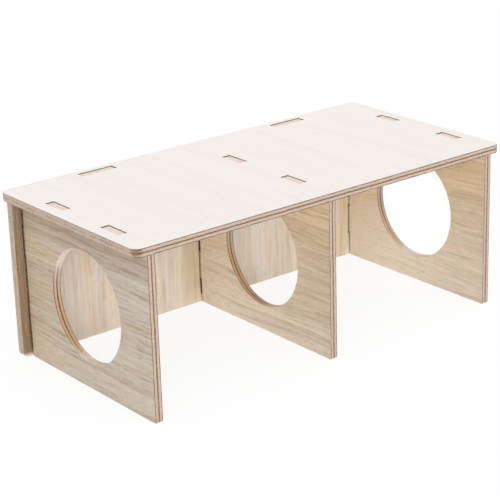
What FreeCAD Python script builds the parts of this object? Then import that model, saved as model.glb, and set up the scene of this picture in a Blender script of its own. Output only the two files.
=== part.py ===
import FreeCAD, Part
import math
import os

# A plug-together plywood hamster house: three upright dividers with round doorways stand on the
# floor, a back panel closes the rear of the two rooms, and a flat roof drops over all four.
#
# Frame: +X runs along the length, left to right as seen from the open front.  +Y runs from the open
# front to the back panel, and +Z is up.  The origin is on the floor, at the centre of the footprint.
#
# Every board is cut from one sheet, so its shape is a flat outline of lines and arcs that is given
# the sheet's thickness.  The skill is in the joinery: each divider has two tabs up into the roof and
# two tabs back through the back panel, and each slot is worked out from the tab that enters it.

# The sheet
BOARD_THICKNESS = 6.0
SANDED_EDGE = 0.35

# The roof
ROOF_LENGTH = 320.0
ROOF_DEPTH = 158.0
ROOF_CORNER_RADIUS = 6.0

# The walls, and how far the roof reaches past them
WALL_HEIGHT = 114.0
END_OVERHANG = 9.2
FRONT_OVERHANG = 0.6
REAR_OVERHANG = 5.4
BACK_END_INSET = 1.8
WALL_FOOT_RADIUS = 1.0
BACK_FOOT_RADIUS = 5.0

# The round doorways
DOORWAY_DIAMETER = 79.0
DOORWAY_CENTRE_HEIGHT = 58.3

# Tabs and slots: a tab stops short of the far face of the board it enters, by the recess
SLOT_CLEARANCE = 0.25
TAB_RECESS = 0.9
TAB_LEAD_IN = 0.8

# Tabs of a divider into the roof, measured back from the divider's front edge
ROOF_TAB_LENGTH = 19.4
FRONT_ROOF_TAB_START = 29.8
REAR_ROOF_TAB_START = 94.2

# Tabs of a divider into the back panel, measured up from the floor
REAR_TAB_LENGTH = 22.0
LOWER_REAR_TAB_START = 18.6
UPPER_REAR_TAB_START = 73.4

# Tabs of the back panel into the roof, measured in from the roof's ends
BACK_TAB_LENGTH = 28.0
BACK_TAB_END_DISTANCE = 59.8

# Planes that the boards share
ROOF_LEFT = -ROOF_LENGTH / 2
ROOF_RIGHT = ROOF_LENGTH / 2
ROOF_FRONT = -ROOF_DEPTH / 2
ROOF_REAR = ROOF_DEPTH / 2
DIVIDER_FRONT = ROOF_FRONT + FRONT_OVERHANG
BACK_REAR_FACE = ROOF_REAR - REAR_OVERHANG
BACK_FRONT_FACE = BACK_REAR_FACE - BOARD_THICKNESS
BACK_LEFT_END = ROOF_LEFT + BACK_END_INSET
BACK_RIGHT_END = ROOF_RIGHT - BACK_END_INSET
TAB_REACH = BOARD_THICKNESS - TAB_RECESS

# Two directions count as parallel when the sine of the angle between them is under this
PARALLEL_LIMIT = 1e-6

# The left face of each divider: one at each end, and one that makes two equal rooms
DIVIDER_LEFT_FACES = {
    "left_divider": ROOF_LEFT + END_OVERHANG,
    "middle_divider": -BOARD_THICKNESS / 2,
    "right_divider": ROOF_RIGHT - END_OVERHANG - BOARD_THICKNESS,
}

# Where the tabs lie along the edges that carry them, as (start, end) pairs
ROOF_TABS = [
    (DIVIDER_FRONT + start, DIVIDER_FRONT + start + ROOF_TAB_LENGTH)
    for start in (FRONT_ROOF_TAB_START, REAR_ROOF_TAB_START)
]
REAR_TABS = [
    (start, start + REAR_TAB_LENGTH)
    for start in (LOWER_REAR_TAB_START, UPPER_REAR_TAB_START)
]
LEFT_BACK_TAB = ROOF_LEFT + BACK_TAB_END_DISTANCE
RIGHT_BACK_TAB = ROOF_RIGHT - BACK_TAB_END_DISTANCE
BACK_TABS = [
    (LEFT_BACK_TAB, LEFT_BACK_TAB + BACK_TAB_LENGTH),
    (RIGHT_BACK_TAB - BACK_TAB_LENGTH, RIGHT_BACK_TAB),
]


def lying_flat(u, v):
    """Places an outline drawn in X and Y."""
    return FreeCAD.Vector(u, v, 0)


def facing_side(u, v):
    """Places an outline drawn in Y and Z."""
    return FreeCAD.Vector(0, u, v)


def facing_front(u, v):
    """Places an outline drawn in X and Z."""
    return FreeCAD.Vector(u, 0, v)


def rounded_corner(before, corner, after, radius):
    """Gives the start, middle and end of the arc that rounds one corner of an outline."""
    arriving = (before - corner).normalize()
    leaving = (after - corner).normalize()
    half_angle = arriving.getAngle(leaving) / 2
    setback = radius / math.tan(half_angle)
    towards_centre = (arriving + leaving).normalize()
    depth = radius / math.sin(half_angle) - radius
    return corner + arriving * setback, corner + towards_centre * depth, corner + leaving * setback


def outline(corners, place):
    """Joins (u, v, radius) corners into a closed wire of straight edges and arcs."""
    points = [place(u, v) for u, v, radius in corners]
    edges = []
    stretches = []
    for index, (u, v, radius) in enumerate(corners):
        corner = points[index]
        if radius == 0:
            stretches.append((corner, corner))
            continue
        following = points[(index + 1) % len(points)]
        start, middle, end = rounded_corner(points[index - 1], corner, following, radius)
        edges.append(Part.Arc(start, middle, end).toShape())
        stretches.append((start, end))
    for index, (start, end) in enumerate(stretches):
        edges.append(Part.makeLine(stretches[index - 1][1], start))
    return Part.Wire(Part.__sortEdges__(edges))


def tab_corners(tabs, shoulder, along_v):
    """Lists the corners of the tabs that stand out of one straight edge.

    shoulder is where the edge lies, and along_v says whether it runs along v or along u.  The tabs
    are listed in the order that the outline meets them, and the two outer corners of each are cut
    off at 45 degrees, so that it finds its slot.
    """
    tip = shoulder + TAB_REACH
    corners = []
    for start, end in tabs:
        lead_in = math.copysign(TAB_LEAD_IN, end - start)
        crossing = [
            (start, shoulder),
            (start, tip - TAB_LEAD_IN),
            (start + lead_in, tip),
            (end - lead_in, tip),
            (end, tip - TAB_LEAD_IN),
            (end, shoulder),
        ]
        for distance, height in crossing:
            corners.append((height, distance, 0) if along_v else (distance, height, 0))
    return corners


def backwards(tabs):
    """Turns the tabs round, for an edge that the outline runs along from high to low."""
    return [(end, start) for start, end in reversed(tabs)]


def sawn_board(face, thickness_axis):
    """Gives an outline the sheet's thickness, and sands the sharp arris off both broad faces."""
    board = face.extrude(thickness_axis * BOARD_THICKNESS)
    arrises = []
    for side in board.Faces:
        is_broad = side.normalAt(0, 0).cross(thickness_axis).Length < PARALLEL_LIMIT
        if is_broad:
            arrises.extend(side.Edges)
    return board.makeChamfer(SANDED_EDGE, arrises)


def slot(across, along, through):
    """Makes the cutter of one slot from the X, Y and Z stretches of the tab that enters it."""
    low, high = zip(across, along, through)
    size = FreeCAD.Vector(*high) - FreeCAD.Vector(*low)
    return Part.makeBox(size.x, size.y, size.z, FreeCAD.Vector(*low))


def widened(stretch):
    """Opens a stretch at both ends by the clearance between a tab and its slot."""
    return stretch[0] - SLOT_CLEARANCE, stretch[1] + SLOT_CLEARANCE


def divider(left_face):
    """One upright divider: tabs at the rear and on top, and a round doorway through it."""
    corners = [
        (DIVIDER_FRONT, 0, WALL_FOOT_RADIUS),
        (BACK_FRONT_FACE, 0, WALL_FOOT_RADIUS),
        *tab_corners(REAR_TABS, BACK_FRONT_FACE, along_v=True),
        (BACK_FRONT_FACE, WALL_HEIGHT, 0),
        *tab_corners(backwards(ROOF_TABS), WALL_HEIGHT, along_v=False),
        (DIVIDER_FRONT, WALL_HEIGHT, 0),
    ]
    sideways = FreeCAD.Vector(1, 0, 0)
    doorway_centre = facing_side((DIVIDER_FRONT + BACK_FRONT_FACE) / 2, DOORWAY_CENTRE_HEIGHT)
    doorway = Part.Face(Part.Wire(Part.makeCircle(DOORWAY_DIAMETER / 2, doorway_centre, sideways)))
    face = Part.Face(outline(corners, facing_side)).cut(doorway).Faces[0]
    board = sawn_board(face, sideways)
    board.translate(sideways * left_face)
    return board


def back_panel():
    """The upright board behind both rooms: two tabs on top, and slots for the dividers' tabs."""
    corners = [
        (BACK_LEFT_END, 0, BACK_FOOT_RADIUS),
        (BACK_RIGHT_END, 0, BACK_FOOT_RADIUS),
        (BACK_RIGHT_END, WALL_HEIGHT, 0),
        *tab_corners(backwards(BACK_TABS), WALL_HEIGHT, along_v=False),
        (BACK_LEFT_END, WALL_HEIGHT, 0),
    ]
    rearwards = FreeCAD.Vector(0, 1, 0)
    board = sawn_board(Part.Face(outline(corners, facing_front)), rearwards)
    board.translate(rearwards * BACK_FRONT_FACE)
    depth = (BACK_FRONT_FACE, BACK_REAR_FACE)
    for left_face in DIVIDER_LEFT_FACES.values():
        width = widened((left_face, left_face + BOARD_THICKNESS))
        for tab in REAR_TABS:
            board = board.cut(slot(width, depth, widened(tab)))
    return board


def roof_panel():
    """The flat roof: rounded corners, and a slot over each tab of the dividers and the back panel."""
    corners = [
        (ROOF_LEFT, ROOF_FRONT, ROOF_CORNER_RADIUS),
        (ROOF_RIGHT, ROOF_FRONT, ROOF_CORNER_RADIUS),
        (ROOF_RIGHT, ROOF_REAR, ROOF_CORNER_RADIUS),
        (ROOF_LEFT, ROOF_REAR, ROOF_CORNER_RADIUS),
    ]
    upwards = FreeCAD.Vector(0, 0, 1)
    board = sawn_board(Part.Face(outline(corners, lying_flat)), upwards)
    board.translate(upwards * WALL_HEIGHT)
    height = (WALL_HEIGHT, WALL_HEIGHT + BOARD_THICKNESS)
    for left_face in DIVIDER_LEFT_FACES.values():
        width = widened((left_face, left_face + BOARD_THICKNESS))
        for tab in ROOF_TABS:
            board = board.cut(slot(width, widened(tab), height))
    for tab in BACK_TABS:
        board = board.cut(slot(widened(tab), widened((BACK_FRONT_FACE, BACK_REAR_FACE)), height))
    return board


def main():
    os.makedirs("parts", exist_ok=True)
    boards = {name: divider(left_face) for name, left_face in DIVIDER_LEFT_FACES.items()}
    boards["back_panel"] = back_panel()
    boards["roof_panel"] = roof_panel()
    for name, board in boards.items():
        board.exportStep("parts/" + name + ".step")


if __name__ == "__main__":
    main()
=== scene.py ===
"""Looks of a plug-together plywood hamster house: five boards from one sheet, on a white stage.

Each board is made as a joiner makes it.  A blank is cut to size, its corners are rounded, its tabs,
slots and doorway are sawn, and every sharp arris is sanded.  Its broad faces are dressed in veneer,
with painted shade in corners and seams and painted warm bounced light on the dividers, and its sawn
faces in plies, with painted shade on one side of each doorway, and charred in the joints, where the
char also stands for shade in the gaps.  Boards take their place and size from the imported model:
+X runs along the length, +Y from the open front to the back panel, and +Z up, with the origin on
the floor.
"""

import math
from collections import namedtuple
from contextlib import contextmanager
from functools import partial

import bmesh
import bpy
from mathutils import Matrix, Vector


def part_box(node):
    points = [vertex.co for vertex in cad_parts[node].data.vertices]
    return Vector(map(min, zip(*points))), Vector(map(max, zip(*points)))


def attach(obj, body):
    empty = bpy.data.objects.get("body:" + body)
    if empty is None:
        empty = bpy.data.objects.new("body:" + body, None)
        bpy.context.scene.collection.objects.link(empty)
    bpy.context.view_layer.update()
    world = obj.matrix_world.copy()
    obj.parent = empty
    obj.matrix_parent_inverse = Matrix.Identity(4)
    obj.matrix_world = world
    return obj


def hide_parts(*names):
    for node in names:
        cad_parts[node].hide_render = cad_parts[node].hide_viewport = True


bl_info = {
    "name": "Plywood Hamster House",
    "version": (1, 0, 0),
    "blender": (4, 5, 0),
    "location": "View3D > Sidebar > Hamster House",
    "description": "Models the boards of a plug-together plywood hamster house, and its stage",
    "category": "Object",
}

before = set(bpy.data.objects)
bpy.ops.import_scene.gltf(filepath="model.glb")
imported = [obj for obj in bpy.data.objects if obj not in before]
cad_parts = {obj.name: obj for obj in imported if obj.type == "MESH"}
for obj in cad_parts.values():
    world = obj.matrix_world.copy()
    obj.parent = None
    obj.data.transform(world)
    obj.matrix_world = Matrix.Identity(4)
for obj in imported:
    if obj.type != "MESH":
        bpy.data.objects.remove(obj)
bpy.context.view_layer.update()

# Lengths are in metres in the settings and the meshes, and in millimetres in the materials
MM = 0.001
MM_PER_METRE = 1000.0

LENGTHWAYS = Vector((1, 0, 0))
REARWARDS = Vector((0, 1, 0))
UPWARDS = Vector((0, 0, 1))

# Two places are the same when they are closer than this, and a cutter reaches past by this much
NEAR = 0.01 * MM
CUTTER_EXCESS = 2 * MM

# A line this far above a doorway's centre meets its facets between their corners
ABOVE_DOORWAY_CENTRE = 1 * MM

# Facets of the round shapes
DOORWAY_SIDES = 128
CORNER_SEGMENTS = 12
FOOT_SEGMENTS = 6
LEAD_IN_SEGMENTS = 3
ARRIS_SEGMENTS = 3

# Edges that turn by more than the first angle are arrises, and by less than the second are flat
ARRIS_ANGLE = math.radians(35)
FLAT_ANGLE = math.radians(1)

# Two directions count as the same when the cosine of the angle between them is over this
ALIGNED = 0.95

# Material slots of every board
BROAD = 0
SAWN = 1

# The upright dividers from left to right.  The first is modelled, and the others are its copies.
DIVIDERS = ("left_divider", "middle_divider", "right_divider")

# A place in the sheet of plywood: the distances along the face veneer's grain, across it and
# through the sheet from its middle, in millimetres, and all three as one point
Place = namedtuple("Place", "along across through point")
ALONG = 0
ACROSS = 1

# Where each board was cut from the sheet, in millimetres along the grain and across it
CUT_FROM = {
    "left_divider": (735, 1948),
    "middle_divider": (400, 35),
    "right_divider": (537, 616),
    "back_panel": (2820, 1676),
    "roof_panel": (2100, 0),
}

# Patterns of the wood: noise that is drawn out to a size in millimetres, along the grain, across it
# and through the sheet.  detail is how many finer layers it has, and levels are a low and a high
# value of the noise, and what each of them becomes.
Pattern = namedtuple("Pattern", "size detail levels", defaults=(None,))
GRAIN_DRIFT = Pattern((160, 55, 9), 2)
RING_CROWDING = Pattern((150, 18, 9), 1)
RING_BREAKS = Pattern((30, 2.2, 2), 3, (0.4, 0.62, 0.05, 1))
BANDS = Pattern((320, 7, 5), 3, (0.3, 0.7, -0.5, 0.5))
FLECKS = Pattern((20, 1.1, 1), 2, (0.5, 0.72, 0, 1))
FIBRES = Pattern((40, 0.8, 1), 3)
PATCHES = Pattern((220, 9, 9), 2, (0.35, 0.65, -1, 1))
# The next two patterns draw the painted shade on the back panel's left edge
LEFT_SHADE_BORDER = Pattern((60, 6, 6), 2)
LEFT_SHADE_STREAKS = Pattern((50, 1.2, 1), 3, (0.3, 0.7, 0.8, 1.1))
PLY_WAVER = Pattern((16, 16, 40), 2, (0, 1, -0.35, 0.35))
PLY_STREAKS = Pattern((11, 11, 0.6), 3)
GLUE_BREAKS = Pattern((2.4, 2.4, 3), 2, (0.42, 0.58, 0.1, 0.9))
SPECKLE = Pattern((1.1, 1.1, 0.8), 2, (0.35, 0.75, 0, 0.45))
CHAR_PATCHES = Pattern((3, 3, 1.2), 3, (0.3, 0.7, 0, 1))
# Pores are drawn half as wide again as real ones, so that they show
PORES = Pattern((6, 0.6, 1), 2, (0.57, 0.7, 0, 1))

# How a growth ring darkens over its width, from 0 to 1, and how the line that ends it fades
RING_DARKENING = (0.3, 0.85, 0, 1)
RING_ENDING = (0.88, 1, 1, 0)

# How a board's face veneer is figured.  ring is the width of its rings and drift how far they
# wander, in millimetres, and crowding is how unevenly they are spaced.  rings, bands, flecks, fibres
# and pores are how strongly each of these shows, from 0 to 1, and patches how far the wood turns
# yellower or greyer.  lean is how much deeper it gets in a metre along the grain, and across it.
Figure = namedtuple("Figure", "ring drift crowding rings bands flecks fibres pores patches lean")
FIGURES = {
    "left_divider": Figure(3.6, 12, 2.0, 0.35, 0.7, 0.42, 0.3, 0.6, 0.15, (0.5, 3.6)),
    "middle_divider": Figure(5.2, 22, 2.2, 0.5, 0.6, 0.4, 0.35, 0.5, 0.15, (-6.5, 0)),
    "right_divider": Figure(5.2, 16, 2.2, 0.35, 0.4, 0.3, 0.25, 0.4, 0.15, (-6.5, 0)),
    "back_panel": Figure(7.0, 8, 2.6, 0.4, 0.7, 0.25, 0.3, 0.25, 0.3, (0, 0)),
    "roof_panel": Figure(8.0, 14, 2.2, 0.15, 0.25, 0.1, 0.2, 0.0, 0.15, (0, 0)),
}

# How squarely a cut crosses a ply's grain, from 0 to 1, and how brown that leaves the ply, and how
# much its streaks add to that
CROSSING_LEVELS = (0.3, 1.45, 0, 1)
STREAK_STRENGTH = 0.9

# How steep a cut is, from 0 to 1, and how much of the paler sanded tone it takes, which is partly
# sanding and partly a painted highlight for the light on cuts that face up or down, and which share
# of the glue lines and the speckle is gone where it is quite pale
SANDED_AND_LIT_LEVELS = (0, 0.35, 0, 0.88)
SOILING_SANDED_AND_LIT_OFF = 0.7

# How rough each finish is, and how deep the relief of its pattern, in metres
VENEER_ROUGHNESS = (0.3, 0.7, 0.55, 0.72)
VENEER_RELIEF = 0.05 * MM
PLY_ROUGHNESS = 0.78
PLY_RELIEF = 0.07 * MM
CHAR_ROUGHNESS = 0.85
CHAR_RELIEF = 0.1 * MM

# Painted shade and warm bounced light on one side of each doorway: how many degrees below level,
# towards the rear, the middle of the brown lies, the cosines that it fades between round it, and
# how brown it is, from 0 to 1
DoorwayShade = namedtuple("DoorwayShade", "below_level pale_from brown_from strength")
DOORWAY_SHADES = {
    "left_divider": DoorwayShade(38, 0.72, 0.99, 0.95),
    "middle_divider": DoorwayShade(50, 0.62, 0.93, 1.0),
    "right_divider": DoorwayShade(35, 0.72, 0.99, 0.8),
}

# A tone that is laid over the wood, either a real stain such as the burn or painted light and shade:
# its colour, and a function that adds the nodes of its share
StainAndShade = namedtuple("StainAndShade", "colour share")

# A warmer tint painted on each divider, for warm light bounced about the rooms: it grows along the
# grain to the rear or across it to the top, between which shares of the way, from 0 at the front or
# the foot to 1 at the rear or the top
WarmBounce = namedtuple("WarmBounce", "axis from_share to_share")
WARM_BOUNCES = {
    "left_divider": WarmBounce(ALONG, 0.5, 1.3),
    "middle_divider": WarmBounce(ACROSS, 0.0, 1.0),
    "right_divider": WarmBounce(ACROSS, 0.0, 1.0),
}

# How deep the painted shade is on a divider's veneer at its seam with the back panel, from 0 to 1,
# how high above the floor it begins, and over how many millimetres it fades at the joint and at its
# foot
SEAM_SHADE = {"left_divider": 0.8, "middle_divider": 0.4, "right_divider": 0.3}
SHADE_FOOT = 6 * MM
SEAM_SHADE_JOINT_FADE = (-0.6, 0.2)
SEAM_SHADE_FOOT_FADE = 0.3

# Dividers behind which the front of the back panel is laid with char all the way up from there, as
# painted shade in the gap
SHADED_JOINTS = ("left_divider", "middle_divider")

# How far painted corner shade spreads over the back panel from its joint with a divider, and how
# high above the floor it has its full tone, in millimetres
CORNER_SHADE_REACH = {"middle_divider": 26, "right_divider": 9}
CORNER_SHADE_RISE = 18

# Painted shade on the back panel's left edge, beside the left divider and under the roof: how far
# its border wavers, over what distance it fades to either side, and how high above the floor the
# brown has its full tone, in millimetres
LEFT_SHADE_WAVER = 3.0
LEFT_SHADE_FADE = 1
LEFT_SHADE_RISE = 4

# Where the laser first pierced the sheet, from the roof's upper front left corner, and how far the
# burn spreads from there, in millimetres
BURN_PLACE = (2.2, 1.4, -1.6)
BURN_REACH = 5.5

# Lamps far from the house: their bearing from the front and their height, how strong they are, and
# how wide they look from the house.  The angles are in degrees.
Lamp = namedtuple("Lamp", "azimuth elevation strength width")
LAMPS = {
    "overhead softbox": Lamp(10, 72, 1.2, 60),
    "front softbox": Lamp(-28, 15, 2.2, 50),
    "rear fill": Lamp(165, 35, 0.5, 90),
}

# How strongly the tent lights the house, and which share of the paper shows plain white instead of
# the light and the shadow on it
TENT_STRENGTH = 0.45
PLAIN_WHITE_SHARE = 0.88


def linear(hex_colour):
    """Turns an sRGB hex colour into the linear values that colour sockets hold, with full alpha."""
    channels = [int(hex_colour[place : place + 2], 16) / 255 for place in (1, 3, 5)]
    values = [
        channel / 12.92 if channel <= 0.04045 else ((channel + 0.055) / 1.055) ** 2.4
        for channel in channels
    ]
    return (*values, 1.0)


def length(name, description, millimetres):
    """Describes a size that a user may change, from its millimetres."""
    return bpy.props.FloatProperty(
        name=name,
        description=description,
        default=millimetres * MM,
        min=0,
        unit="LENGTH",
        precision=5,
    )


def angle(name, description, degrees):
    """Describes an angle that a user may change, from its degrees."""
    return bpy.props.FloatProperty(
        name=name, description=description, default=math.radians(degrees), subtype="ANGLE"
    )


def colour(name, description, default):
    """Describes a colour that a user may change, from its sRGB hex value."""
    return bpy.props.FloatVectorProperty(
        name=name,
        description=description,
        default=linear(default),
        size=4,
        min=0,
        max=1,
        subtype="COLOR",
    )


class HouseJoinery(bpy.types.PropertyGroup):
    """Sizes of what is sawn out of the boards."""

    roof_corner_radius: length("Roof corner", "Radius of the roof's corners", 6)
    wall_foot_radius: length("Divider foot", "Radius of a divider's lower corners", 1)
    back_foot_radius: length("Back foot", "Radius of the back panel's lower corners", 5)
    arris_radius: length("Arris", "Radius that sanding leaves on sharp edges", 0.4)
    doorway_diameter: length("Doorway", "Diameter of the round doorways", 79)
    doorway_height: length("Doorway height", "Height of the doorways' centres", 58.3)
    slot_clearance: length("Slot clearance", "Gap beside a tab in the roof", 0.25)
    rear_clearance: length("Rear clearance", "Gap beside a tab in the back", 0.45)
    tab_recess: length("Tab recess", "How far a tab stops short of the far face", 0.5)
    tab_lead_in: length("Tab lead-in", "Radius of a tab's outer corners", 0.8)
    shoulder_gap: length("Shoulder gap", "From a divider's shoulders to the back", 1.0)
    roof_tab_length: length("Roof tab", "Length of a divider's tabs into the roof", 19.4)
    front_roof_tab: length("Front roof tab", "Its start, from the divider's front", 29.8)
    rear_roof_tab: length("Rear roof tab", "Its start, from the divider's front", 94.2)
    rear_tab_length: length("Rear tab", "Length of a divider's tabs to the rear", 22)
    lower_rear_tab: length("Lower rear tab", "Its start, up from the floor", 18.6)
    upper_rear_tab: length("Upper rear tab", "Its start, up from the floor", 73.4)
    back_tab_length: length("Back tab", "Length of the back panel's tabs", 28)
    back_tab_inset: length("Back tab inset", "Its start, in from the roof's end", 59.8)


class HouseFinish(bpy.types.PropertyGroup):
    """Colours of the veneers and the plies, and how the sheet is built up."""

    roof_pale: colour("Roof", "Wood of the roof between its rings", "#EBE5E1")
    roof_deep: colour("Roof rings", "Ring lines of the roof", "#DFD4CA")
    roof_pore: colour("Roof pores", "Open pores of the roof", "#D8CBBE")
    back_pale: colour("Back", "Wood of the back panel between its rings", "#ECE0D0")
    back_deep: colour("Back rings", "Ring lines of the back panel", "#CDB796")
    left_pale: colour("Left divider", "Wood of the left divider", "#C9BEAF")
    left_deep: colour("Left rings", "Ring lines of the left divider", "#98826D")
    inner_pale: colour("Inner dividers", "Wood of the other dividers", "#F0E2CE")
    inner_deep: colour("Inner rings", "Ring lines of the other dividers", "#C0B09D")
    pore: colour("Pores", "Open pores between the rings", "#86735F")
    # Painted shade on the back panel's left edge, beside the left divider and under the roof
    left_edge_shade: colour("Heartwood", "Browning of the back panel's left edge", "#8C7862")
    # Painted warm bounced light on the dividers
    warm_bounce_tint: colour("Amber", "Tint of the dividers where daylight yellowed them", "#FFF3DC")
    # Painted shade in the seams where the dividers meet the back panel
    seam_shade: colour("Smoke", "Browning of the veneer beside the rear joints", "#6A5442")
    # Painted shade in the back panel's corners beside its joints
    corner_shade: colour("Haze", "Browning of the back panel beside its joints", "#E3DDC8")
    burn: colour("Burn", "Browning of the roof's corner where the cut began", "#BFAE9C")
    # How far the painted shade on the back panel's left edge reaches
    left_edge_shade_width: length("Heartwood width", "Its reach from the left edge", 10.5)
    crossband_side: colour("Crossband", "Pale plies cut along their grain", "#C0AD9D")
    crossband_end: colour("Crossband end", "Pale plies cut across their grain", "#C6B3A2")
    core_side: colour("Core", "Core and face plies cut along their grain", "#C6B3A2")
    core_end: colour("Core end", "Core and face plies cut across their grain", "#7C6350")
    glue: colour("Glue line", "Resin between two plies", "#64493A")
    # Painted shade and warm bounced light on one side of each doorway, on pale plies and on the
    # others
    doorway_shade: colour("DoorwayShade", "Browning of pale plies where the cutter lingered", "#FCEACD")
    deep_doorway_shade: colour("Deep scorch", "Browning of the other plies there", "#DBB48F")
    # Char, also laid as painted shade in the joints
    char: colour("Char", "Darkest of what the laser charred", "#402D1C")
    # Partly sanded wood, partly a painted highlight on cuts that face up or down
    sanded: colour("Sanded edge", "Sawn faces that sandpaper reached", "#EBDBD1")
    face_veneer: length("Face veneer", "Thickness of the outer plies", 0.6)
    core: length("Core", "Thickness of the middle ply", 0.9)
    glue_line: length("Glue line", "Half the width of a glue line", 0.12)


class HouseStage(bpy.types.PropertyGroup):
    """Camera, floor and background paper."""

    aim: bpy.props.FloatVectorProperty(
        name="Aim",
        description="Point that the camera looks at",
        default=(-5.70 * MM, 3.87 * MM, 58.68 * MM),
        unit="LENGTH",
        precision=5,
    )
    azimuth: angle("Azimuth", "Turn of the camera round the house from the front", -38.232)
    elevation: angle("Elevation", "Height of the camera above the horizon", 20.322)
    roll: angle("Roll", "Turn of the camera about its own line of sight", -1.776)
    distance: length("Distance", "From the camera to the point it looks at", 1203.7)
    focal_length: bpy.props.FloatProperty(
        name="Focal length",
        description="Focal length of the lens in millimetres, on a sensor 36 mm wide",
        default=122.6,
        min=1,
    )
    floor_size: length("Floor", "Side of the square floor", 12000)
    paper: colour("Paper", "Background paper on the floor", "#FBFBFB")


def take_up(board):
    """Selects one board alone and makes it the active one, for operators to work on."""
    bpy.ops.object.select_all(action="DESELECT")
    board.select_set(True)
    bpy.context.view_layer.objects.active = board


@contextmanager
def editing(board):
    """Opens one board in edit mode, and closes it again."""
    take_up(board)
    bpy.ops.object.mode_set(mode="EDIT")
    yield
    bpy.ops.object.mode_set(mode="OBJECT")


def pick(kind, wanted):
    """Selects only the faces, or only the edges, of the open board that pass a test."""
    board = bpy.context.edit_object
    bpy.ops.mesh.select_mode(type=kind)
    bpy.ops.mesh.select_all(action="DESELECT")
    mesh = bmesh.from_edit_mesh(board.data)
    picked = [part for part in (mesh.faces if kind == "FACE" else mesh.edges) if wanted(part)]
    if not picked:
        raise RuntimeError(f"{board.name} has no such {kind.lower()} to work on")
    for part in picked:
        part.select_set(True)
    bmesh.update_edit_mesh(board.data)


def apply_modifier(board, kind, **settings):
    """Adds a modifier with its settings to the board that was taken up, and applies it."""
    bpy.ops.object.modifier_add(type=kind)
    modifier = board.modifiers[-1]
    for name, value in settings.items():
        setattr(modifier, name, value)
    bpy.ops.object.modifier_apply(modifier=modifier.name)


def saw_blank(node, low, high):
    """Saws the blank of one board from the sheet, between two corners."""
    bpy.ops.object.select_all(action="DESELECT")
    bpy.ops.mesh.primitive_cube_add(size=1, location=(low + high) / 2, scale=high - low)
    blank = bpy.context.object
    blank.name = "plywood_" + node
    bpy.ops.object.transform_apply()
    return blank


def round_corners(through, radius, segments, wanted):
    """Rounds the corners of the open board: the edges through the sheet whose place is wanted."""

    def is_corner(edge):
        start, end = (corner.co for corner in edge.verts)
        return abs((end - start).normalized().dot(through)) > ALIGNED and wanted(start)

    pick("EDGE", is_corner)
    bpy.ops.mesh.bevel(offset=radius, segments=segments, affect="EDGES")


def mark_across(along, *distances):
    """Scribes lines across the whole of the open board, at distances along one direction."""
    for distance in distances:
        bpy.ops.mesh.select_all(action="SELECT")
        bpy.ops.mesh.bisect(plane_co=along * distance, plane_no=along)


def raise_tabs(outwards, along, shoulder, stretches, reach, lead_in):
    """Draws tabs out of one edge of the open board, and rounds the corners that enter the slots.

    The edge faces outwards, where it lies at shoulder, and the tabs stand on stretches along it.
    """
    tip = shoulder + reach
    for start, end in stretches:
        mark_across(along, start, end)

        def is_root(face):
            on_stretch = start < face.calc_center_median().dot(along) < end
            return on_stretch and face.normal.dot(outwards) > ALIGNED

        pick("FACE", is_root)
        bpy.ops.mesh.extrude_region_move(TRANSFORM_OT_translate={"value": outwards * reach})
    round_corners(
        outwards.cross(along),
        lead_in,
        LEAD_IN_SEGMENTS,
        lambda place: abs(place.dot(outwards) - tip) < NEAR,
    )


def saw_slots(through, slots):
    """Saws rectangular slots through the open board, each given by its two corners."""
    across = [axis for axis in (LENGTHWAYS, REARWARDS, UPWARDS) if axis != through]
    for low, high in slots:
        for axis in across:
            mark_across(axis, low.dot(axis), high.dot(axis))
    for low, high in slots:

        def is_in_slot(face):
            centre = face.calc_center_median()
            inside = all(low.dot(axis) < centre.dot(axis) < high.dot(axis) for axis in across)
            return inside and abs(face.normal.dot(through)) > ALIGNED

        pick("FACE", is_in_slot)
        bpy.ops.mesh.bridge_edge_loops()


def cut_doorway(board, centre, diameter, depth):
    """Cuts a round doorway through a divider with a cylinder as the cutter."""
    bpy.ops.object.select_all(action="DESELECT")
    bpy.ops.mesh.primitive_cylinder_add(
        vertices=DOORWAY_SIDES,
        radius=diameter / 2,
        depth=depth,
        location=centre,
        rotation=(0, math.pi / 2, 0),
    )
    cutter = bpy.context.object
    take_up(board)
    apply_modifier(board, "BOOLEAN", object=cutter)
    bpy.data.objects.remove(cutter)


def sand(board, radius):
    """Takes every sharp arris off a board, and lets its rounds shade smoothly beside its flats."""
    take_up(board)
    apply_modifier(
        board,
        "BEVEL",
        width=radius,
        segments=ARRIS_SEGMENTS,
        limit_method="ANGLE",
        angle_limit=ARRIS_ANGLE,
    )
    bpy.ops.object.shade_smooth_by_angle(angle=ARRIS_ANGLE)
    apply_modifier(board, "WEIGHTED_NORMAL", keep_sharp=True)


# Kinds of node that need settings, each with its own
PRODUCT = ("ShaderNodeMath", {"operation": "MULTIPLY"})
SUM = ("ShaderNodeMath", {"operation": "ADD"})
DIFFERENCE = ("ShaderNodeMath", {"operation": "SUBTRACT"})
SCALED_SUM = ("ShaderNodeMath", {"operation": "MULTIPLY_ADD"})
LARGER = ("ShaderNodeMath", {"operation": "MAXIMUM"})
DISTANCE = ("ShaderNodeMath", {"operation": "ABSOLUTE"})
WITHIN = ("ShaderNodeMath", {"operation": "COMPARE"})
FRACTION = ("ShaderNodeMath", {"operation": "FRACT"})
BELOW = ("ShaderNodeMath", {"operation": "LESS_THAN"})
DIFFERENCE_OF_VECTORS = ("ShaderNodeVectorMath", {"operation": "SUBTRACT"})
QUOTIENT_OF_VECTORS = ("ShaderNodeVectorMath", {"operation": "DIVIDE"})
SCALED_SUM_OF_VECTORS = ("ShaderNodeVectorMath", {"operation": "MULTIPLY_ADD"})
DOT_PRODUCT = ("ShaderNodeVectorMath", {"operation": "DOT_PRODUCT"})
RANGE = ("ShaderNodeMapRange", {"interpolation_type": "LINEAR"})
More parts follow.
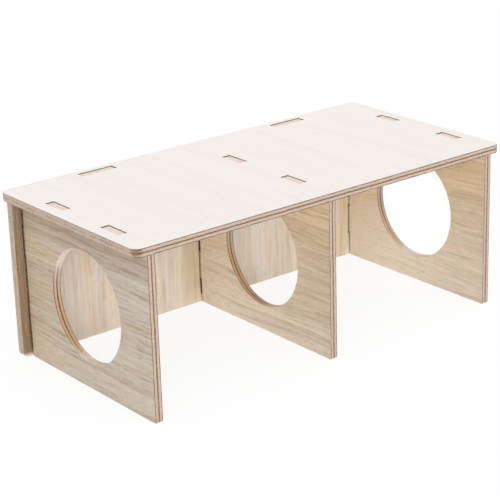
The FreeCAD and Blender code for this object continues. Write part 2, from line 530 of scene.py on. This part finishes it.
EASED_RANGE = ("ShaderNodeMapRange", {"interpolation_type": "SMOOTHSTEP"})
COLOUR_MIX = ("ShaderNodeMix", {"data_type": "RGBA"})
COLOUR_PRODUCT = ("ShaderNodeMix", {"data_type": "RGBA", "blend_type": "MULTIPLY"})


def add_node(tree, kind, *inputs, output=None, **named_inputs):
    """Adds one node, feeds its inputs with links or values, and gives one of its outputs.

    kind is a type of node, alone or with its settings.  Inputs are given in the order of the
    sockets that those leave in use, or by name.  The first output in use is given, or a named one.
    """
    node_type, settings = (kind, {}) if isinstance(kind, str) else kind
    node = tree.nodes.new(node_type)
    for name, value in settings.items():
        setattr(node, name, value)
    fed = list(zip([socket for socket in node.inputs if socket.enabled], inputs))
    fed += [(node.inputs[name], value) for name, value in named_inputs.items()]
    for socket, value in fed:
        if isinstance(value, bpy.types.NodeSocket):
            tree.links.new(value, socket)
        else:
            socket.default_value = value
    in_use = (socket for socket in node.outputs if socket.enabled)
    return node.outputs[output] if output else next(in_use, None)


def new_material(name):
    """Starts an empty node material, and gives it with the function that adds a node to it."""
    material = bpy.data.materials.new(name)
    material.use_nodes = True
    material.node_tree.nodes.clear()
    return material, partial(add_node, material.node_tree)


class SheetLie:
    """How a board lay in the sheet: where it was cut, its grain, and the way through the sheet."""

    def __init__(self, node, grain, through):
        self.low, self.high = without_tabs(node)
        self.thickness = (self.high - self.low).dot(through)
        self.middle = (self.low + self.high) / 2
        self.grain = grain
        self.through = through
        self.across = through.cross(grain)
        self.turn = Matrix((self.grain, self.across, self.through))
        self.cut_from = Vector((*CUT_FROM[node], 0))
        self.figure = FIGURES[node]

    def at(self, point):
        """Gives the point in the sheet that a point of the board came from."""
        return self.cut_from + self.turn @ (point - self.middle) * MM_PER_METRE

    def place(self, add):
        """Adds the nodes that give a place in the sheet for each point of the board."""
        point = add("ShaderNodeTexCoord", output="Object")
        shift = self.at(Vector((0, 0, 0)))
        scale = (MM_PER_METRE,) * 3
        in_sheet = add("ShaderNodeMapping", point, shift, self.turn.to_euler(), scale)
        return Place(*add("ShaderNodeSeparateXYZ", in_sheet).node.outputs, in_sheet)


def streaks(add, place, pattern, output=None):
    """Adds the noise of a pattern, before its levels."""
    stretched = add(QUOTIENT_OF_VECTORS, place.point, pattern.size)
    noise = {"Vector": stretched, "Scale": 1.0, "Detail": pattern.detail, "Roughness": 0.6}
    return add("ShaderNodeTexNoise", **noise, output=output)


def levelled(add, place, pattern, kind=RANGE):
    """Adds the noise of a pattern, and brings it to its levels."""
    return add(kind, streaks(add, place, pattern), *pattern.levels)


def stained_and_shaded(add, place, wood, stains_and_shades):
    """Lays the colour of each stain and painted shade over the wood, by its share at each place."""
    for overlay in stains_and_shades:
        share = overlay.share(add, place)
        wood = add(COLOUR_PRODUCT, share, wood, overlay.colour)
    return wood


def finish_surface(add, wood, roughness, height, relief):
    """Finishes the wood as a dry surface, with a roughness and a relief in metres from a height."""
    bumps = add("ShaderNodeBump", Strength=1.0, Distance=relief, Height=height)
    sockets = {
        "Base Color": wood,
        "Roughness": roughness,
        "IOR": 1.5,
        "Specular IOR Level": 0.25,
        "Normal": bumps,
    }
    surface = add("ShaderNodeBsdfPrincipled", **sockets)
    add("ShaderNodeOutputMaterial", Surface=surface)


def broken_rings(add, place, figure):
    """Adds growth rings: each darkens slowly and ends in a line, which fades and comes back."""
    crowding = streaks(add, place, RING_CROWDING)
    ring_count = add(SCALED_SUM, place.across, 1 / figure.ring, crowding)
    spread = add(SCALED_SUM, crowding, figure.crowding, ring_count)
    ring = add(FRACTION, spread)
    darkening = add(EASED_RANGE, ring, *RING_DARKENING)
    ending = add(EASED_RANGE, ring, *RING_ENDING)
    line = add(PRODUCT, darkening, ending)
    return add(PRODUCT, line, levelled(add, place, RING_BREAKS, EASED_RANGE))


def leaning_tone(add, place, lie):
    """Adds the tone that deepens evenly over a board, from nothing at its middle."""
    along, across = lie.figure.lean
    from_middle = add(DIFFERENCE_OF_VECTORS, place.point, lie.cut_from)
    return add(DOT_PRODUCT, from_middle, Vector((along, across, 0)) / MM_PER_METRE)


def sanded_veneer(name, lie, tones, stains_and_shades=()):
    """Sanded veneer: fine growth rings, dark flecks and short open pores in pale wood."""
    pale, deep, pore = tones
    figure = lie.figure
    material, add = new_material(name)
    place = lie.place(add)
    # The grain drifts to either side along the board
    drift = streaks(add, place, GRAIN_DRIFT, "Color")
    drifted = add(SCALED_SUM_OF_VECTORS, drift, (0, figure.drift, 0), place.point)
    grain = Place(*add("ShaderNodeSeparateXYZ", drifted).node.outputs, drifted)
    fibres = streaks(add, grain, FIBRES)
    tone = leaning_tone(add, place, lie)
    for feature, strength in (
        (broken_rings(add, grain, figure), figure.rings),
        (levelled(add, grain, BANDS), figure.bands),
        (levelled(add, grain, FLECKS, EASED_RANGE), figure.flecks),
        (fibres, figure.fibres),
    ):
        tone = add(SCALED_SUM, feature, strength, tone)
    wood = add(COLOUR_MIX, tone, pale, deep)
    pores = add(PRODUCT, levelled(add, grain, PORES), figure.pores)
    pored = add(COLOUR_MIX, pores, wood, pore)
    # Yellower and greyer wood lie side by side along the grain
    richness = add(SCALED_SUM, levelled(add, grain, PATCHES), figure.patches, 1)
    toned = add("ShaderNodeHueSaturation", Saturation=richness, Color=pored)
    roughness = add(RANGE, fibres, *VENEER_ROUGHNESS)
    height = add(DIFFERENCE, fibres, pores)
    finish_surface(add, stained_and_shaded(add, place, toned, stains_and_shades), roughness, height, VENEER_RELIEF)
    return material


def warm_bounce_share(add, place, axis, start, end):
    """Adds the share of painted warm bounced light, growing between two places along one sheet axis.
    """
    return add(RANGE, place[axis], start, end, 0, 1)


def shaded_seam(add, place, border, foot, strength):
    """Adds the share of painted seam shade at a joint, past a border along the grain and above its
    foot.
    """
    joint_fade = [border + distance for distance in SEAM_SHADE_JOINT_FADE]
    foot_fade = (foot - SEAM_SHADE_FOOT_FADE, foot + SEAM_SHADE_FOOT_FADE)
    near_joint = add(EASED_RANGE, place.along, *joint_fade, 0, strength)
    above_foot = add(EASED_RANGE, place.across, *foot_fade, 0, 1)
    return add(PRODUCT, near_joint, above_foot)


def on_front(add, place, foot, rise):
    """Adds the share that is 1 on the front of an upright board, and less down towards its foot."""
    front = add(BELOW, place.through, 0)
    risen = add(EASED_RANGE, place.along, foot, foot + rise, 0, 1)
    return add(PRODUCT, front, risen)


def shaded_corner(add, place, joint, reach, foot):
    """Adds the share of painted corner shade on a board's front veneer, less and less away from a
    joint.
    """
    distance = add(DISTANCE, add(DIFFERENCE, place.across, joint))
    fading = add(EASED_RANGE, distance, 0, reach, 1, 0)
    return add(PRODUCT, fading, on_front(add, place, foot, CORNER_SHADE_RISE))


def shaded_left_edge(add, place, border, foot):
    """Adds the share of painted shade on the front veneer, as far as a border that wavers."""
    waver = streaks(add, place, LEFT_SHADE_BORDER)
    wavering = add(SCALED_SUM, waver, LEFT_SHADE_WAVER, place.across)
    fade = (border - LEFT_SHADE_FADE, border + LEFT_SHADE_FADE)
    reach = add(EASED_RANGE, wavering, *fade, 1, 0)
    present = add(PRODUCT, reach, on_front(add, place, foot, LEFT_SHADE_RISE))
    return add(PRODUCT, present, levelled(add, place, LEFT_SHADE_STREAKS))


def burnt_spot(add, place, centre):
    """Adds the share of a burn round one spot, where the laser pierced the sheet and moved on."""
    offset = add(DIFFERENCE_OF_VECTORS, place.point, centre)
    squared = add(DOT_PRODUCT, offset, offset)
    return add(EASED_RANGE, squared, 0, BURN_REACH**2, 1, 0)


def ply_layers(add, place, lie, finish):
    """Adds the shares of the crossbands and of the glue lines, from the middle of the sheet out."""
    # The plies waver along the edge, because veneer is peeled with a knife
    wavering = add(SUM, place.through, levelled(add, place, PLY_WAVER))
    from_middle = add(DISTANCE, wavering)
    core = finish.core / 2 * MM_PER_METRE
    veneer = (lie.thickness / 2 - finish.face_veneer) * MM_PER_METRE
    blur = finish.glue_line * MM_PER_METRE
    outside_core = add(EASED_RANGE, from_middle, core - blur, core + blur, 0, 1)
    inside_veneer = add(EASED_RANGE, from_middle, veneer - blur, veneer + blur, 1, 0)
    crossband = add(PRODUCT, outside_core, inside_veneer)
    # Glue lines are drawn about twice as wide as real ones, so that they show
    near_core = add(WITHIN, from_middle, core, blur)
    near_veneer = add(WITHIN, from_middle, veneer, blur)
    glued = add(LARGER, near_core, near_veneer)
    return crossband, add(PRODUCT, glued, levelled(add, place, GLUE_BREAKS))


def ply_tones(add, place, facing, lie, finish, crossband):
    """Adds the wood of the plies, each browner where the cut crosses its grain."""
    patchiness = streaks(add, place, PLY_STREAKS)
    tones = []
    for direction, side, end in (
        (lie.grain, finish.core_side, finish.core_end),
        (lie.across, finish.crossband_side, finish.crossband_end),
    ):
        crossing = add(DOT_PRODUCT, facing, direction)
        squareness = add(PRODUCT, crossing, crossing)
        patchy = add(SCALED_SUM, patchiness, STREAK_STRENGTH, squareness)
        share = add(EASED_RANGE, patchy, *CROSSING_LEVELS)
        tones.append(add(COLOUR_MIX, share, side, end))
    return add(COLOUR_MIX, crossband, *tones)


def sanded_and_lit_slopes(add, facing, lie):
    """Adds the share of paler tone on cuts that face up or down: partly what sandpaper cleaned, and
    partly a painted highlight for the stronger light on them.
    """
    upwards_in_sheet = UPWARDS - lie.through * lie.through.dot(UPWARDS)
    tilt = add(DOT_PRODUCT, facing, upwards_in_sheet)
    steepness = add(PRODUCT, tilt, tilt)
    return add(EASED_RANGE, steepness, *SANDED_AND_LIT_LEVELS)


def shaded_doorway_side(add, facing, doorway_shade):
    """Adds the share of painted shade and warm bounced light on one side of a doorway."""
    below_level = math.radians(doorway_shade.below_level)
    browned_way = (0, -math.cos(below_level), math.sin(below_level))
    lingered = add(DOT_PRODUCT, facing, browned_way)
    return add(EASED_RANGE, lingered, doorway_shade.pale_from, doorway_shade.brown_from, 0, doorway_shade.strength)


def sawn_plies(name, lie, finish, doorway_shade=None, stains_and_shades=()):
    """Sawn poplar plies: thick pale crossbands between a core and two face veneers that turn brown
    where the saw crosses their grain, with broken glue lines, paler where they face up or down,
    partly from sanding and partly as a painted highlight, and with painted shade on one side of a
    doorway.
    """
    material, add = new_material(name)
    place = lie.place(add)
    facing = add("ShaderNodeTexCoord", output="Normal")
    crossband, whole_glue = ply_layers(add, place, lie, finish)
    wood = ply_tones(add, place, facing, lie, finish, crossband)
    # Paler cuts that face up or down: partly sanding, partly a painted highlight
    sanding_and_light = sanded_and_lit_slopes(add, facing, lie)
    if doorway_shade:
        # Painted shade and warm bounced light on one side of the doorway
        doorway_shading = shaded_doorway_side(add, facing, doorway_shade)
        unshaded = add(SCALED_SUM, doorway_shading, -1, 1)
        sanding_and_light = add(PRODUCT, sanding_and_light, unshaded)
    cleaned_and_lit = add(COLOUR_MIX, sanding_and_light, wood, finish.sanded)
    soiling = add(SCALED_SUM, sanding_and_light, -SOILING_SANDED_AND_LIT_OFF, 1)
    glue = add(PRODUCT, whole_glue, soiling)
    lined = add(COLOUR_MIX, glue, cleaned_and_lit, finish.glue)
    speckle = streaks(add, place, SPECKLE)
    whole_speckle = add(RANGE, speckle, *SPECKLE.levels)
    speckled = add(PRODUCT, whole_speckle, soiling)
    toned = add(COLOUR_MIX, speckled, lined, finish.core_end)
    if doorway_shade:
        browning = add(COLOUR_MIX, crossband, finish.deep_doorway_shade, finish.doorway_shade)
        toned = add(COLOUR_PRODUCT, doorway_shading, toned, browning)
    height = add(DIFFERENCE, speckle, glue)
    finish_surface(add, stained_and_shaded(add, place, toned, stains_and_shades), PLY_ROUGHNESS, height, PLY_RELIEF)
    return material


def charred_and_shaded_plies(name, lie, finish):
    """Dark brown plies, paler in patches, in a joint: partly the laser's char, and partly painted
    shade in the gaps and recesses.
    """
    material, add = new_material(name)
    patches = streaks(add, lie.place(add), CHAR_PATCHES)
    share = add(RANGE, patches, *CHAR_PATCHES.levels)
    wood = add(COLOUR_MIX, share, finish.char, finish.core_end)
    finish_surface(add, wood, CHAR_ROUGHNESS, patches, CHAR_RELIEF)
    return material


def dress(board, lie, veneer, plies):
    """Gives the broad faces of a board their veneer, and all that was sawn the plies."""
    board.data.materials.clear()
    for material in (veneer, plies):
        board.data.materials.append(material)
    for face in board.data.polygons:
        is_broad = abs(face.normal.dot(lie.through)) > ALIGNED
        face.material_index = BROAD if is_broad else SAWN


def dress_apart(board, material, wanted):
    """Gives the faces of a board that pass a test another material."""
    board.data.materials.append(material)
    for face in board.data.polygons:
        if wanted(face):
            face.material_index = len(board.data.materials) - 1


def hand_over(board, node, body):
    """Lets a finished board stand for its CAD node, and move with its body."""
    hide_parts(node)
    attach(board, body)


def in_any(boxes, point):
    """Tells whether a point is in one of the boxes, or on its surface."""
    return any(
        all(low[axis] - NEAR < point[axis] < high[axis] + NEAR for axis in range(3))
        for low, high in boxes
    )


def box_between(*stretches):
    """Gives the two corners of a box from its stretches along X, Y and Z."""
    low, high = zip(*stretches)
    return Vector(low), Vector(high)


def widened(stretch, clearance):
    """Opens a stretch at both ends by the clearance between a tab and its slot."""
    return stretch[0] - clearance, stretch[1] + clearance


def without_tabs(node):
    """Gives the box of a board without its tabs, which end inside the roof and the back panel."""
    low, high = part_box(node)
    if node != "roof_panel":
        high.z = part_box("roof_panel")[0].z
    if node in DIVIDERS:
        high.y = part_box("back_panel")[0].y
    return low, high


def divider_width(node):
    """Gives the stretch along X that a divider fills."""
    low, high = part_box(node)
    return low.x, high.x


def doorway_centre(node, joinery):
    """Gives the centre of a divider's doorway."""
    low, high = without_tabs(node)
    return Vector(((low.x + high.x) / 2, (low.y + high.y) / 2, joinery.doorway_height))


def roof_tab_stretches(joinery):
    """Gives the stretches along Y of a divider's two tabs into the roof."""
    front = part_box(DIVIDERS[0])[0].y
    return [
        (front + start, front + start + joinery.roof_tab_length)
        for start in (joinery.front_roof_tab, joinery.rear_roof_tab)
    ]


def rear_tab_stretches(joinery):
    """Gives the stretches along Z of a divider's two tabs into the back panel."""
    return [
        (start, start + joinery.rear_tab_length)
        for start in (joinery.lower_rear_tab, joinery.upper_rear_tab)
    ]


def back_tab_stretches(joinery):
    """Gives the stretches along X of the back panel's two tabs into the roof."""
    low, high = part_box("roof_panel")
    left = low.x + joinery.back_tab_inset
    right = high.x - joinery.back_tab_inset
    return [(left, left + joinery.back_tab_length), (right - joinery.back_tab_length, right)]


def model_divider(joinery):
    """Models the left divider, which the other two are copied from."""
    node = DIVIDERS[0]
    low, high = without_tabs(node)
    gap = joinery.shoulder_gap
    shoulder = high.y - gap
    reach = high.x - low.x - joinery.tab_recess
    lead_in = joinery.tab_lead_in
    board = saw_blank(node, low, high - REARWARDS * gap)
    with editing(board):
        foot_radius = joinery.wall_foot_radius
        round_corners(LENGTHWAYS, foot_radius, FOOT_SEGMENTS, lambda place: place.z - low.z < NEAR)
        roof_tabs = roof_tab_stretches(joinery)
        raise_tabs(UPWARDS, REARWARDS, high.z, roof_tabs, reach, lead_in)
        rear_tabs = rear_tab_stretches(joinery)
        raise_tabs(REARWARDS, UPWARDS, shoulder, rear_tabs, reach + gap, lead_in)
        bpy.ops.mesh.select_all(action="SELECT")
        bpy.ops.mesh.dissolve_limited(angle_limit=FLAT_ANGLE)
        # Without a line into the doorway, the faces round it would be split differently each run
        centre = doorway_centre(node, joinery)
        mark_across(UPWARDS, low.z + SHADE_FOOT, centre.z + ABOVE_DOORWAY_CENTRE)
    cut_doorway(board, centre, joinery.doorway_diameter, high.x - low.x + CUTTER_EXCESS)
    sand(board, joinery.arris_radius)
    return board


def copy_divider(first, node):
    """Copies the left divider to the place of another one."""
    take_up(first)
    bpy.ops.object.duplicate(linked=False)
    board = bpy.context.object
    board.name = "plywood_" + node
    board.location.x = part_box(node)[0].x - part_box(DIVIDERS[0])[0].x
    bpy.ops.object.transform_apply()
    return board


def divider_painted_light(node, lie, joinery, finish):
    """Gives a divider's painted light: a warm tint for warm bounced light, and painted shade in its
    joint.
    """
    bounce_spread = WARM_BOUNCES[node]
    near_end = lie.at(lie.low)[bounce_spread.axis]
    span = lie.at(lie.high)[bounce_spread.axis] - near_end
    start, end = (near_end + span * share for share in (bounce_spread.from_share, bounce_spread.to_share))
    # Painted warm bounced light, yellower towards the rear or the top
    warm_light = partial(warm_bounce_share, axis=bounce_spread.axis, start=start, end=end)
    border = lie.at(lie.high - REARWARDS * joinery.shoulder_gap)[ALONG]
    foot = lie.at(lie.low + UPWARDS * SHADE_FOOT)[ACROSS]
    # Painted shade in the seam where the divider meets the back panel
    seam_shade = partial(shaded_seam, border=border, foot=foot, strength=SEAM_SHADE[node])
    return StainAndShade(finish.warm_bounce_tint, warm_light), StainAndShade(finish.seam_shade, seam_shade)


def dress_divider(board, node, joinery, finish):
    """Gives a divider its veneer, its sawn plies, painted shade on one side of its doorway, and
    charred rear shoulders, whose dark stands partly for shade in the joint.
    """
    lie = SheetLie(node, REARWARDS, LENGTHWAYS)
    tones = (finish.inner_pale, finish.inner_deep, finish.pore)
    if node == DIVIDERS[0]:
        tones = (finish.left_pale, finish.left_deep, finish.pore)
    # The veneer carries painted warm bounced light and painted seam shade
    stains_and_shades = divider_painted_light(node, lie, joinery, finish)
    veneer = sanded_veneer(f"sanded ash veneer, {node}", lie, tones, stains_and_shades)
    dress(board, lie, veneer, sawn_plies(f"sawn poplar plies, {node}", lie, finish))

    centre = doorway_centre(node, joinery)
    rim = joinery.doorway_diameter / 2 + joinery.arris_radius

    def is_in_doorway(face):
        return abs(face.normal.x) < ALIGNED and (face.center - centre).yz.length < rim

    # Painted shade and warm bounced light on one side of the doorway
    milled = sawn_plies(f"milled poplar plies, {node}", lie, finish, DOORWAY_SHADES[node])
    dress_apart(board, milled, is_in_doorway)

    rear = lie.high.y
    front_limit = rear - joinery.shoulder_gap - joinery.arris_radius
    rear_limit = rear + lie.thickness - joinery.tab_recess - joinery.tab_lead_in - NEAR
    foot = lie.low.z + SHADE_FOOT

    def is_in_joint(face):
        in_reach = front_limit < face.center.y < rear_limit and face.center.z > foot
        return in_reach and abs(face.normal.x) < ALIGNED

    # Charred plies in the joint, whose dark stands partly for the shade in the gap
    dress_apart(board, charred_and_shaded_plies(f"laser-cut poplar plies, {node}", lie, finish), is_in_joint)


class HAMSTERHOUSE_OT_dividers(bpy.types.Operator):
    """Models the three upright dividers, each with a round doorway"""

    bl_idname = "hamster_house.dividers"
    bl_label = "Dividers"

    def execute(self, context):
        joinery = context.scene.house_joinery
        first = model_divider(joinery)
        boards = {node: copy_divider(first, node) for node in DIVIDERS[1:]}
        boards[DIVIDERS[0]] = first
        for node, board in boards.items():
            dress_divider(board, node, joinery, context.scene.house_finish)
            hand_over(board, node, "stand")
        return {"FINISHED"}


def rear_slots(joinery):
    """Gives the two corners of each slot in the back panel, round the dividers' tabs."""
    low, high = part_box("back_panel")
    clearance = joinery.rear_clearance
    return [
        box_between(widened(divider_width(node), clearance), (low.y, high.y), widened(tab, clearance))
        for node in DIVIDERS
        for tab in rear_tab_stretches(joinery)
    ]


def model_back_panel(joinery, slots):
    """Models the back panel: two tabs on top, and slots for the dividers' tabs."""
    low, high = without_tabs("back_panel")
    reach = high.y - low.y - joinery.tab_recess
    board = saw_blank("back_panel", low, high)
    with editing(board):
        foot_radius = joinery.back_foot_radius
        round_corners(REARWARDS, foot_radius, FOOT_SEGMENTS, lambda place: place.z - low.z < NEAR)
        tabs = back_tab_stretches(joinery)
        raise_tabs(UPWARDS, LENGTHWAYS, high.z, tabs, reach, joinery.tab_lead_in)
        saw_slots(REARWARDS, slots)
        mark_across(UPWARDS, low.z + SHADE_FOOT)
    sand(board, joinery.arris_radius)
    return board


def back_panel_painted_shade(lie, finish):
    """Gives the back panel's painted shade: at its left edge, and beside its joints."""
    foot = lie.at(lie.low)[ALONG]
    border = lie.at(lie.low + LENGTHWAYS * finish.left_edge_shade_width)[ACROSS]
    # Painted shade on the back panel's left edge, beside the left divider and under the roof
    stains_and_shades = [StainAndShade(finish.left_edge_shade, partial(shaded_left_edge, border=border, foot=foot))]
    # Painted shade in the back panel's corners beside the middle and right dividers
    for node, reach in CORNER_SHADE_REACH.items():
        divider_low, divider_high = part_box(node)
        joint = lie.at((divider_low + divider_high) / 2)[ACROSS]
        corner_shade = partial(shaded_corner, joint=joint, reach=reach, foot=foot)
        stains_and_shades.append(StainAndShade(finish.corner_shade, corner_shade))
    return stains_and_shades


def dress_back_panel(board, slots, joinery, finish):
    """Gives the back panel its veneer and its plies, chars its slots, and lays char as painted shade
    on its hidden strips behind the left and middle dividers.
    """
    lie = SheetLie("back_panel", UPWARDS, REARWARDS)
    tones = (finish.back_pale, finish.back_deep, finish.pore)
    stains_and_shades = back_panel_painted_shade(lie, finish)
    veneer = sanded_veneer("sanded ash veneer, back panel", lie, tones, stains_and_shades)
    dress(board, lie, veneer, sawn_plies("sawn poplar plies, back panel", lie, finish))

    rounding = (LENGTHWAYS + UPWARDS) * joinery.arris_radius
    boxes = [(low - rounding, high + rounding) for low, high in slots]
    front = lie.low.y
    # Painted shade: char laid on the back panel's front behind the left and middle dividers
    for node in SHADED_JOINTS:
        width = widened(divider_width(node), joinery.rear_clearance)
        height = (lie.low.z + SHADE_FOOT, lie.high.z)
        boxes.append(box_between(width, (front, front), height))
    charred = charred_and_shaded_plies("laser-cut poplar plies, back panel", lie, finish)
    dress_apart(board, charred, lambda face: in_any(boxes, face.center))


class HAMSTERHOUSE_OT_back_panel(bpy.types.Operator):
    """Models the upright board behind both rooms"""

    bl_idname = "hamster_house.back_panel"
    bl_label = "Back panel"

    def execute(self, context):
        joinery = context.scene.house_joinery
        slots = rear_slots(joinery)
        board = model_back_panel(joinery, slots)
        dress_back_panel(board, slots, joinery, context.scene.house_finish)
        hand_over(board, "back_panel", "stand")
        return {"FINISHED"}


def roof_slots(joinery):
    """Gives the two corners of each slot in the roof, round the tabs of the four walls."""
    low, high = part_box("roof_panel")
    back_low, back_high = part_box("back_panel")
    clearance = joinery.slot_clearance
    tabs = [(divider_width(node), tab) for node in DIVIDERS for tab in roof_tab_stretches(joinery)]
    tabs += [(tab, (back_low.y, back_high.y)) for tab in back_tab_stretches(joinery)]
    return [
        box_between(widened(along_x, clearance), widened(along_y, clearance), (low.z, high.z))
        for along_x, along_y in tabs
    ]


def model_roof(joinery, slots):
    """Models the roof: a flat board with rounded corners and a slot over each tab."""
    board = saw_blank("roof_panel", *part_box("roof_panel"))
    with editing(board):
        round_corners(UPWARDS, joinery.roof_corner_radius, CORNER_SEGMENTS, lambda place: True)
        saw_slots(UPWARDS, slots)
    sand(board, joinery.arris_radius)
    return board


def dress_roof(board, slots, finish):
    """Gives the roof its veneer and its plies with one burn, and chars its slots, whose dark walls
    stand partly for shade in the recesses.
    """
    lie = SheetLie("roof_panel", REARWARDS, UPWARDS)
    tones = (finish.roof_pale, finish.roof_deep, finish.roof_pore)
    veneer = sanded_veneer("sanded basswood veneer, roof", lie, tones)
    corner = Vector((lie.low.x, lie.low.y, lie.high.z))
    pierced = lie.at(corner + Vector(BURN_PLACE) * MM)
    burn = StainAndShade(finish.burn, partial(burnt_spot, centre=pierced))
    dress(board, lie, veneer, sawn_plies("sawn poplar plies, roof", lie, finish, stains_and_shades=(burn,)))
    # Char on the roof's slot walls, partly painted shade in the recesses
    charred = charred_and_shaded_plies("laser-cut poplar plies, roof", lie, finish)
    dress_apart(board, charred, lambda face: in_any(slots, face.center))


class HAMSTERHOUSE_OT_roof_panel(bpy.types.Operator):
    """Models the flat roof, which drops over the tabs of the four walls"""

    bl_idname = "hamster_house.roof_panel"
    bl_label = "Roof"

    def execute(self, context):
        joinery = context.scene.house_joinery
        slots = roof_slots(joinery)
        board = model_roof(joinery, slots)
        dress_roof(board, slots, context.scene.house_finish)
        hand_over(board, "roof_panel", "roof")
        return {"FINISHED"}


def seen_directly(add):
    """Adds the nodes that are 1 for rays from the camera, a gloss or a clear body."""
    direct = add("ShaderNodeLightPath", output="Is Camera Ray")
    for kind in ("Is Glossy Ray", "Is Transmission Ray"):
        direct = add(LARGER, direct, add("ShaderNodeLightPath", output=kind))
    return direct


def seamless_paper(white):
    """Matt white background paper: it shows as white, with the faintest trace of a shadow."""
    material, add = new_material("matt white background paper")
    paper = add("ShaderNodeBsdfDiffuse", Color=white)
    plain = add("ShaderNodeEmission", Strength=1.0)
    share = add(PRODUCT, seen_directly(add), PLAIN_WHITE_SHARE)
    mixed = add("ShaderNodeMixShader", share, paper, plain)
    add("ShaderNodeOutputMaterial", Surface=mixed)
    return material


def light_tent():
    """White light from all round, at a plain level, that is seen as white."""
    world = bpy.data.worlds.new("white light tent")
    world.use_nodes = True
    world.node_tree.nodes.clear()
    add = partial(add_node, world.node_tree)
    white = linear("#FFFFFF")
    soft = add("ShaderNodeBackground", white, TENT_STRENGTH)
    seen = add("ShaderNodeBackground", white, 1.0)
    mixed = add("ShaderNodeMixShader", seen_directly(add), soft, seen)
    add("ShaderNodeOutputWorld", Surface=mixed)
    return world


def towards(azimuth, elevation):
    """Gives the direction of a bearing round the house from the front, at a height above level."""
    level = Vector((math.sin(azimuth), -math.cos(azimuth), 0)) * math.cos(elevation)
    return level + UPWARDS * math.sin(elevation)


def hang_lamp(name, lamp):
    """Hangs a soft lamp far away from the house."""
    light = bpy.data.lights.new(name, "SUN")
    light.energy = lamp.strength
    light.angle = math.radians(lamp.width)
    hung = bpy.data.objects.new(name, light)
    bpy.context.scene.collection.objects.link(hung)
    direction = towards(math.radians(lamp.azimuth), math.radians(lamp.elevation))
    hung.rotation_euler = direction.to_track_quat("Z", "Y").to_euler()


def set_up_camera(stage):
    """Sets up the camera, and gives it."""
    camera = bpy.data.objects.new("camera", bpy.data.cameras.new("camera"))
    bpy.context.scene.collection.objects.link(camera)
    camera.data.lens = stage.focal_length
    away = towards(stage.azimuth, stage.elevation)
    level = Vector((math.cos(stage.azimuth), math.sin(stage.azimuth), 0))
    turn = Matrix.Rotation(stage.roll, 3, away)
    axes = Matrix((turn @ level, turn @ away.cross(level), away)).transposed()
    camera.rotation_euler = axes.to_euler()
    camera.location = Vector(stage.aim) + away * stage.distance
    return camera


class HAMSTERHOUSE_OT_stage(bpy.types.Operator):
    """Lays the white floor, hangs the lamps and sets up the camera"""

    bl_idname = "hamster_house.stage"
    bl_label = "Stage"

    def execute(self, context):
        stage = context.scene.house_stage
        bpy.ops.object.select_all(action="DESELECT")
        bpy.ops.mesh.primitive_plane_add(size=stage.floor_size)
        floor = context.object
        floor.name = "floor"
        floor.data.materials.append(seamless_paper(stage.paper))
        context.scene.world = light_tent()
        for name, lamp in LAMPS.items():
            hang_lamp(name, lamp)
        context.scene.camera = set_up_camera(stage)
        context.scene.view_settings.view_transform = "Standard"
        return {"FINISHED"}


class HAMSTERHOUSE_PT_sidebar(bpy.types.Panel):
    """Lists the steps that build the house"""

    bl_idname = "HAMSTERHOUSE_PT_sidebar"
    bl_label = "Hamster House"
    bl_space_type = "VIEW_3D"
    bl_region_type = "UI"
    bl_category = "Hamster House"

    def draw(self, context):
        for operator in OPERATORS:
            self.layout.operator(operator.bl_idname)


GROUPS = {
    "house_joinery": HouseJoinery,
    "house_finish": HouseFinish,
    "house_stage": HouseStage,
}
OPERATORS = (
    HAMSTERHOUSE_OT_dividers,
    HAMSTERHOUSE_OT_back_panel,
    HAMSTERHOUSE_OT_roof_panel,
    HAMSTERHOUSE_OT_stage,
)
CLASSES = (*GROUPS.values(), *OPERATORS, HAMSTERHOUSE_PT_sidebar)


def register():
    """Makes the operators, the sidebar and the settings known to Blender."""
    for each in CLASSES:
        bpy.utils.register_class(each)
    for name, group in GROUPS.items():
        setattr(bpy.types.Scene, name, bpy.props.PointerProperty(type=group))


def unregister():
    """Takes the settings, the sidebar and the operators away again."""
    for name in GROUPS:
        delattr(bpy.types.Scene, name)
    for each in reversed(CLASSES):
        bpy.utils.unregister_class(each)


def main():
    """Builds the house on its stage."""
    register()
    bpy.ops.hamster_house.dividers()
    bpy.ops.hamster_house.back_panel()
    bpy.ops.hamster_house.roof_panel()
    bpy.ops.hamster_house.stage()


if __name__ == "__main__":
    main()
